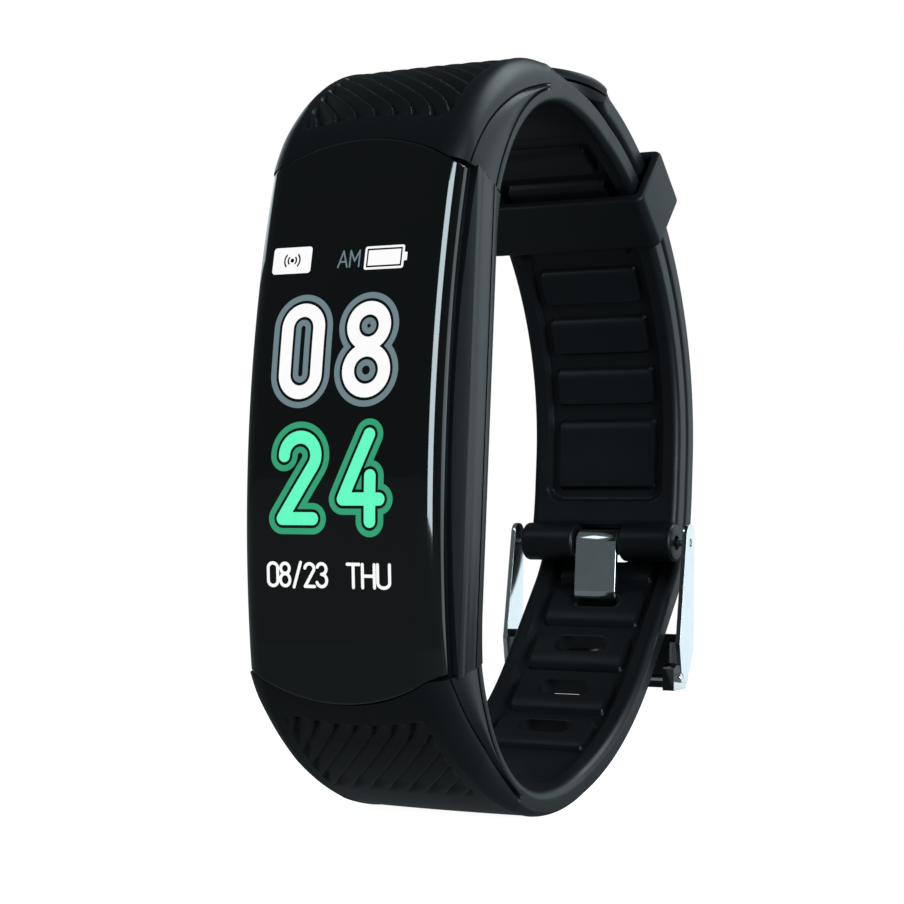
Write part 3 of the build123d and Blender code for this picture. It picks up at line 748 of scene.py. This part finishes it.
def surface(name, dark, light, scale, rough, grain, depth=0.00001, **fixed):
    """A finish whose colour drifts between two tones and whose roughness and height follow a grain."""
    finish = Finish(name, **fixed)
    drift = finish.place.noise(scale, 4)
    fine = finish.place.noise(grain, 2)
    finish.wire("Base Color", drift.mix(dark, light))
    finish.wire("Roughness", rough[0] + (rough[1] - rough[0]) * (0.6 * drift + 0.4 * fine))
    finish.wire("Normal", fine.bump(0.2, depth))
    return finish.material


dress("case_body", surface("case_plastic", (0.003, 0.0036, 0.0042), (0.006, 0.0068, 0.0078), 300, (0.30, 0.42), 5000, Specular_IOR_Level=0.3), 0.12)
dress("back_cover", surface("cover_plastic", (0.008, 0.0085, 0.009), (0.013, 0.0135, 0.014), 400, (0.38, 0.5), 9000, 0.00002), 0.08)
dress("back_cover_screws", surface("screw_steel", (0.35, 0.35, 0.36), (0.5, 0.5, 0.51), 900, (0.25, 0.4), 12000, Metallic=1.0), 0.04, 2)
foam = surface("gasket_foam", (0.012, 0.012, 0.012), (0.03, 0.03, 0.03), 3000, (0.85, 0.95), 14000, 0.00005)
for node in ("lens_gasket", "back_gasket", "battery_foam", "sensor_light_barrier"):
    dress(node, foam)

# ---------------------------------------------------------------- heart-rate sensor and charging
# A clear dome over green LEDs and a photodiode, with two gold-plated contacts and two nickel
# magnets below it for the charging clip.


def sensor_glass():
    finish = Finish("sensor_glass", IOR=1.5, Coat_Weight=0.6, Coat_Roughness=0.05)
    drift = finish.place.noise(700, 3)
    finish.wire("Base Color", drift.mix((0.006, 0.010, 0.009), (0.010, 0.018, 0.014)))
    finish.wire("Roughness", 0.06 + 0.08 * drift)
    return finish.material


def led_epoxy():
    finish = Finish("led_epoxy", Emission_Strength=0.25, Coat_Weight=0.5)
    glow = finish.place.noise(2500, 2)
    finish.wire("Base Color", glow.mix((0.25, 0.55, 0.22), (0.42, 0.75, 0.30)))
    finish.wire("Emission Color", glow.mix((0.05, 0.35, 0.06), (0.10, 0.60, 0.12)))
    finish.wire("Roughness", 0.12 + 0.1 * glow)
    return finish.material


dress("sensor_window", sensor_glass())
dress("sensor_leds", led_epoxy())
dress("charge_contacts", surface("contact_gold", (0.62, 0.42, 0.16), (0.80, 0.58, 0.26), 800, (0.18, 0.32), 9000, Metallic=1.0), 0.08)
dress("charge_magnets", surface("magnet_nickel", (0.52, 0.50, 0.46), (0.66, 0.64, 0.60), 700, (0.2, 0.34), 9000, Metallic=1.0), 0.05)

# ---------------------------------------------------------------- display and electronics
# A colour LCD on its backlight, a lithium pouch cell on foam, and a two-sided circuit board with
# its chips, antenna and flat flex, stacked in the case's cavity.


def board_green():
    """Green solder mask over copper tracks: the tracks are raised bands of lighter green."""
    finish = Finish("board_green", Specular_IOR_Level=0.5, Coat_Weight=0.3)
    cells_of_tracks = finish.place.node(
        "ShaderNodeTexBrick",
        {"offset": 0.5},
        {
            "Vector": finish.place,
            "Scale": 260.0,
            "Mortar Size": 0.04,
            "Color1": (0, 0, 0, 1),
            "Color2": (0, 0, 0, 1),
            "Mortar": (1, 1, 1, 1),
        },
    )
    drift = finish.place.noise(400, 3)
    finish.wire("Base Color", (0.7 * cells_of_tracks + 0.3 * drift).mix((0.006, 0.09, 0.035), (0.03, 0.24, 0.09)))
    finish.wire("Roughness", 0.28 + 0.15 * drift)
    finish.wire("Normal", cells_of_tracks.bump(0.3, 0.00002))
    return finish.material


dress("lcd_panel", surface("lcd_glass", (0.012, 0.014, 0.018), (0.02, 0.024, 0.03), 200, (0.05, 0.12), 4000, Coat_Weight=0.5), 0.03, 2)
white_plastic = surface("backlight_white", (0.70, 0.70, 0.68), (0.82, 0.82, 0.80), 500, (0.35, 0.5), 6000)
dress("lcd_backlight", white_plastic, 0.05, 2)
dress("chip_antenna", surface("antenna_ceramic", (0.66, 0.66, 0.62), (0.78, 0.78, 0.74), 900, (0.3, 0.45), 9000), 0.05, 2)
polyimide = surface("polyimide", (0.30, 0.12, 0.02), (0.48, 0.22, 0.04), 500, (0.22, 0.36), 5000, Coat_Weight=0.3)
dress("touch_pad", polyimide)
dress("display_flex", polyimide)
dress("battery", surface("battery_foil", (0.52, 0.53, 0.55), (0.72, 0.73, 0.75), 260, (0.25, 0.45), 1800, 0.00006, Metallic=0.9), 0.15)
dress("main_board", board_green(), 0.03, 2)
chip_black = surface("chip_black", (0.012, 0.012, 0.013), (0.024, 0.024, 0.026), 1500, (0.5, 0.65), 14000, 0.00002)
dress("board_chips", chip_black, 0.05, 2)
dress("photodiode", chip_black, 0.03, 2)

# ---------------------------------------------------------------- vibration motor
# A coin motor: a drawn steel can soldered to the board, a shaft across it, and an off-centre
# tungsten weight that spins on the shaft.
dress("vibration_motor_can", surface("motor_steel", (0.45, 0.45, 0.46), (0.6, 0.6, 0.61), 500, (0.24, 0.4), 7000, Metallic=1.0), 0.08, 2)
dress("motor_shaft", surface("shaft_steel", (0.5, 0.5, 0.51), (0.64, 0.64, 0.65), 900, (0.15, 0.28), 9000, Metallic=1.0))
dress("motor_rotor", surface("rotor_weight", (0.22, 0.21, 0.20), (0.34, 0.33, 0.31), 900, (0.35, 0.5), 9000, Metallic=1.0), 0.05, 2)

# ---------------------------------------------------------------- display lens
# A black-backed acrylic lens, bowed from end to end, with polished rounded edges. Its base colour
# turns a little lighter below a line near its lower end.
lens_radius = 110.0
lens_center_y = -33.2 + lens_radius


def lens_black():
    finish = Finish("lens_black", IOR=1.49, Coat_Weight=0.4, Coat_Roughness=0.02, Specular_IOR_Level=0.5)
    height = finish.place.node("ShaderNodeSeparateXYZ", None, {0: finish.place}, out="Z")
    # Base colour a little lighter below 19.5 mm under the middle, towards the lens's lower end.
    down = (-0.0195 - height) * 2000.0
    zone = down.math("MINIMUM", down.math("MAXIMUM", down, 0.0), 1.0)
    smear = finish.place.noise(120, 4)
    finish.wire("Base Color", (0.9 * zone + 0.1 * smear).mix((0.0006, 0.0009, 0.0009), (0.0032, 0.0044, 0.0048)))
    finish.wire("Roughness", 0.035 + 0.05 * smear)
    return finish.material


dress("display_lens", lens_black())

# ---------------------------------------------------------------- lit display
# What the lit LCD shows through the lens: a wireless sign, a battery, the time in four outlined
# digits, and the date and day in plain strokes.


def lit(name, dim, bright):
    """Light from a group of pixels, a little uneven from one to the next."""
    finish = Finish(name, Base_Color=(0, 0, 0, 1), Roughness=0.3, Emission_Strength=1.0)
    finish.wire("Emission Color", finish.place.noise(900, 2).mix(dim, bright))
    return finish.material


def sweep(center, radius, start, end, steps=24, tall=1.0):
    """Points along an arc in the X, Z plane, from start to end degrees."""
    angle = np.radians(np.linspace(start, end, steps + 1))
    return np.stack((center[0] + radius * np.cos(angle), center[1] + tall * radius * np.sin(angle)), -1)


def stadium(center_x, low, high, radius):
    """A closed loop with two straight sides and round ends."""
    upper = sweep((center_x, high - radius), radius, 0, 180)
    lower = sweep((center_x, low + radius), radius, 180, 360)
    return np.concatenate((upper, lower, upper[:1]))


def from_strokes(x, z, strokes):
    """Distance from each point to the nearest stroke."""
    nearest = np.full(x.shape, 99.0)
    for stroke in strokes:
        stroke = np.asarray(stroke, float)
        for (ax, az), (bx, bz) in zip(stroke[:-1], stroke[1:]):
            dx, dz = bx - ax, bz - az
            share = np.clip(((x - ax) * dx + (z - az) * dz) / max(dx * dx + dz * dz, 1e-9), 0, 1)
            nearest = np.minimum(nearest, np.hypot(x - ax - share * dx, z - az - share * dz))
    return nearest


def plate(name, box, edge, finish, step=0.08, proud=0.015, sunk=0.02):
    """A thin closed plate on the lens, of the shape where edge is below 0."""
    left, right, low, high = box
    x, z = np.meshgrid(
        np.arange(left - 3 * step, right + 3 * step, step), np.arange(low - 3 * step, high + 3 * step, step)
    )
    keep, x, z = trim(x, z, edge)
    y = lens_center_y - np.sqrt(lens_radius**2 - z**2)
    front = np.stack((x, y - proud, z), -1).reshape(-1, 3)
    rear = np.stack((x, y + sunk, z), -1).reshape(-1, 3)
    top = np.arange(x.size).reshape(x.shape)
    bottom = top + x.size
    faces = cells(top, keep) + cells(bottom, keep) + walls(keep, top, bottom)
    made = solid(name, np.concatenate((front, rear)), faces, finish)
    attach(made, "band")


stroke_hours = 1.18
stroke_minutes = 1.12
black_gap = 0.26
outline_width = 0.53
hours = [
    stadium(-3.75, 2.0, 9.27, 1.595),
    sweep((2.85, 7.66), 1.57, 0, 360, 40),
    sweep((2.85, 3.78), 1.78, 0, 360, 40),
]
two_end = (-3.38 + 1.6 * cos(radians(-33.8)), -3.52 + 1.6 * sin(radians(-33.8)))
minutes = [
    sweep((-3.38, -3.52), 1.6, 180, -33.8, 30),
    [two_end, (-5.1, -8.97), (-2.03, -8.97)],
    [(3.50, -1.75), (0.97, -7.27), (4.55, -7.27)],
    [(3.65, -5.29), (3.65, -9.15)],
]
white = lit("pixels_white", (0.93, 0.93, 0.93), (1.0, 1.0, 1.0))
grey = lit("pixels_grey", (0.140, 0.215, 0.235), (0.165, 0.240, 0.262))
mint = lit("pixels_mint", (0.118, 0.92, 0.50), (0.138, 1.0, 0.57))
teal = lit("pixels_teal", (0.027, 0.32, 0.155), (0.036, 0.37, 0.185))


def digits(name, strokes, width, box, fill, ring):
    """A pair of digits: filled strokes inside a black gap and an outline."""
    middle = width / 2 + black_gap + outline_width / 2
    plate(name, box, lambda x, z: from_strokes(x, z, strokes) - width / 2, fill)
    plate(
        name + "_outline",
        box,
        lambda x, z: np.abs(from_strokes(x, z, strokes) - middle) - outline_width / 2,
        ring,
    )


digits("hours", hours, stroke_hours, (-7.0, 6.4, 0.1, 11.2), white, grey)
digits("minutes", minutes, stroke_minutes, (-7.0, 6.6, -10.8, -0.2), mint, teal)

# Strokes of the plain letters, in a box 0.44 wide and 1 high.
letters = {
    "0": [stadium(0.22, 0.0, 1.0, 0.22)],
    "8": [sweep((0.22, 0.77), 0.20, 0, 360, 20, 1.12), sweep((0.22, 0.27), 0.22, 0, 360, 20, 1.22)],
    "/": [[(0.06, -0.04), (0.38, 1.04)]],
    "2": [sweep((0.22, 0.78), 0.21, 175, -35, 16), [(0.39, 0.66), (0.01, 0.0), (0.44, 0.0)]],
    "3": [sweep((0.21, 0.77), 0.21, 160, -90, 16, 1.1), sweep((0.21, 0.27), 0.23, 90, -160, 16, 1.17)],
    "T": [[(0.0, 1.0), (0.44, 1.0)], [(0.22, 1.0), (0.22, 0.0)]],
    "H": [[(0.0, 1.0), (0.0, 0.0)], [(0.44, 1.0), (0.44, 0.0)], [(0.0, 0.5), (0.44, 0.5)]],
    "U": [[(0.0, 1.0), (0.0, 0.22)], sweep((0.22, 0.22), 0.22, 180, 360, 16), [(0.44, 0.22), (0.44, 1.0)]],
    "A": [[(0.0, 0.0), (0.22, 1.0), (0.44, 0.0)], [(0.07, 0.33), (0.37, 0.33)]],
    "M": [[(0.0, 0.0), (0.0, 1.0), (0.22, 0.35), (0.44, 1.0), (0.44, 0.0)]],
}


def words(text, left, right, low, high, width):
    """The strokes of a word that fills this box from edge to edge."""
    tall = high - low - width
    advance = (right - left - width) / (len(text) - 1 + 0.78)
    made = []
    for k, letter in enumerate(text):
        for stroke in letters[letter]:
            start = np.array((left + width / 2 + k * advance, low + width / 2))
            made.append(start + np.asarray(stroke, float) * (0.78 * advance / 0.44, tall))
    return made


date = words("08/23", -6.73, -0.51, -14.92, -12.68, 0.28) + words("THU", 1.28, 5.71, -14.92, -12.68, 0.28)
plate("date", (-6.9, 5.9, -15.1, -12.5), lambda x, z: from_strokes(x, z, date) - 0.14, white, 0.06)
half_of_day = words("AM", -0.92, 1.32, 12.9, 14.5, 0.14)
plate("half_of_day", (-1.1, 1.5, 12.7, 14.7), lambda x, z: from_strokes(x, z, half_of_day) - 0.07, grey, 0.04)


def badge_edge(x, z):
    """A white badge with a wireless sign cut out of it: a dot between two pairs of waves."""
    center = (-5.62, 13.84)
    waves = [sweep(center, r, a - 40, a + 40, 10) for r in (0.42, 0.78) for a in (0, 180)]
    sign = np.minimum(from_strokes(x, z, waves) - 0.085, np.hypot(x - center[0], z - center[1]) - 0.19)
    return np.maximum(box_edge(x - center[0], z - center[1], 1.97, 1.20, 0.3), -sign)


def battery_edge(x, z):
    """A full battery sign: an outline, a gap, a solid bar and a nub on its right."""
    body = box_edge(x - 3.735, z - 13.67, 1.955, 1.04, 0.22)
    shell = np.maximum(body, -(body + 0.20))
    nub = box_edge(x - 5.78, z - 13.67, 0.21, 0.38, 0.1)
    return np.minimum(np.minimum(shell, body + 0.36), nub)


plate("wireless_badge", (-7.7, -3.5, 12.5, 15.2), badge_edge, white, 0.04)
plate("battery_sign", (1.6, 6.1, 12.5, 14.9), battery_edge, white, 0.04)

# ---------------------------------------------------------------- buckle and spring bars
# A stamped and plated steel frame with rolled edges, whose arms turn on the spring bar's tips. The
# tang is one strip rolled round the bar's tube, bent to lie flat outside the strap.


def chrome(name, dark, light, rough):
    """Polished plating, with fine wipe marks along the part."""
    finish = Finish(name, Metallic=1.0)
    wipe = finish.place.noise(500, 3)
    finish.wire("Base Color", wipe.mix(dark, light))
    finish.wire("Roughness", rough + 0.08 * wipe)
    finish.wire("Normal", finish.place.noise(1400, 2).bump(0.12, 0.00001))
    return finish.material


plating = chrome("buckle_chrome", (0.72, 0.73, 0.74), (0.86, 0.87, 0.88), 0.08)
dress("buckle_frame", plating, 0.14)
dress("buckle_tang", plating, 0.10)
dress("buckle_cross_pin", plating)
steel = chrome("bar_steel", (0.52, 0.52, 0.53), (0.68, 0.68, 0.69), 0.16)
for node in (
    "upper_strap_pin",
    "lower_strap_pin",
    "buckle_bar_tube",
    "buckle_bar_tip_left",
    "buckle_bar_tip_right",
    "buckle_bar_spring",
):
    dress(node, steel)

camera.data.clip_start = 0.01
